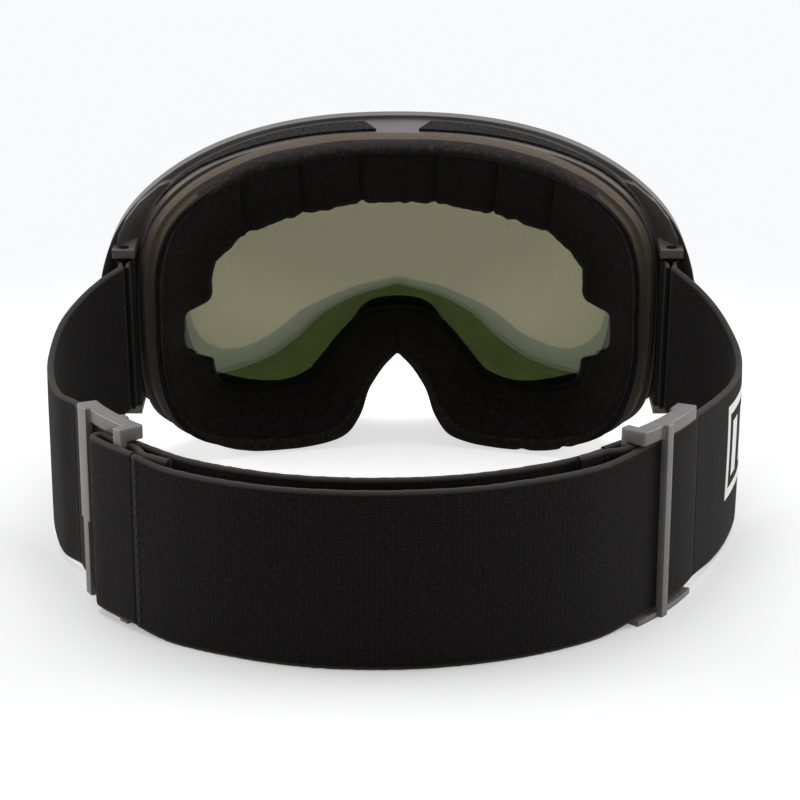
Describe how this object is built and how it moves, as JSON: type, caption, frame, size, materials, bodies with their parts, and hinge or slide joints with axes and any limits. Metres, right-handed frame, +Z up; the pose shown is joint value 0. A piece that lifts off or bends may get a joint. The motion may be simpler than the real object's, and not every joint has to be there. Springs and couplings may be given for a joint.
{
  "type": "ski goggles",
  "caption": "Snow goggles with a wrapped double lens, foam face seal and vents, on an elastic head strap with adjusting sliders.",
  "frame": {"origin": "middle of the goggles' footprint, on the surface they stand on", "axes": "+Z up, +Y forwards, the way the wearer looks, +X to the wearer's right; the lens faces +Y and the strap loop lies towards -Y"},
  "size_m": [0.1928, 0.2041, 0.1014],
  "materials": {
    "frame_moulding": "satin moulded elastomer, dark grey",
    "lens_outer": "green-grey tinted clear plastic, glossy",
    "lens_inner": "clear plastic, glossy",
    "gasket_foam": "closed-cell foam, black",
    "vent_foam": "open-cell foam, dark grey",
    "face_foam_base": "dense foam, brown-grey",
    "face_foam_core": "soft foam, dark grey",
    "fleece": "brushed fleece, charcoal with fine flecks",
    "lining": "pressed foam lining, dark grey",
    "pin_steel": "drawn steel wire",
    "webbing": "knitted elastic webbing, black",
    "slider_plastic": "satin moulded acetal, dark grey"
  },
  "bodies": {
    "frame": {"frame": "frame_moulding", "outer_lens": "lens_outer", "inner_lens": "lens_inner", "lens_gasket": "gasket_foam", "top_filter_left": "vent_foam", "top_filter_right": "vent_foam", "bottom_filter_left": "vent_foam", "bottom_filter_right": "vent_foam", "foam_base": "face_foam_base", "foam_core": "face_foam_core", "fleece_lining": "fleece", "vent_lining": "lining", "strap_pin_left": "pin_steel", "strap_pin_right": "pin_steel", "anchor_loop_left": "webbing", "anchor_loop_right": "webbing"},
    "strap": {"side_strap_left": "webbing", "side_strap_right": "webbing", "back_strap_inner": "webbing", "back_strap_outer": "webbing"},
    "slider_left": {"slider_left": "slider_plastic", "strap_loop_left": "webbing"},
    "slider_right": {"slider_right": "slider_plastic", "strap_loop_right": "webbing"}
  },
  "joints": [
    {"name": "strap_swing", "type": "hinge", "parent": "frame", "child": "strap", "pos_m": [0, 0.04341, 0.0449], "axis": [-1, 0, 0], "range_deg": [0, 75], "deforming": ["side_strap_left", "side_strap_right"]},
    {"name": "slider_left_slide", "type": "hinge", "parent": "strap", "child": "slider_left", "pos_m": [-0.005, -0.0124, 0.0248], "axis": [0, 0, 1], "range_deg": [0, 25], "deforming": ["back_strap_outer"]},
    {"name": "slider_right_slide", "type": "hinge", "parent": "strap", "child": "slider_right", "pos_m": [-0.005, -0.0124, 0.0248], "axis": [0, 0, -1], "range_deg": [0, 25], "deforming": ["back_strap_inner"]}
  ]
}
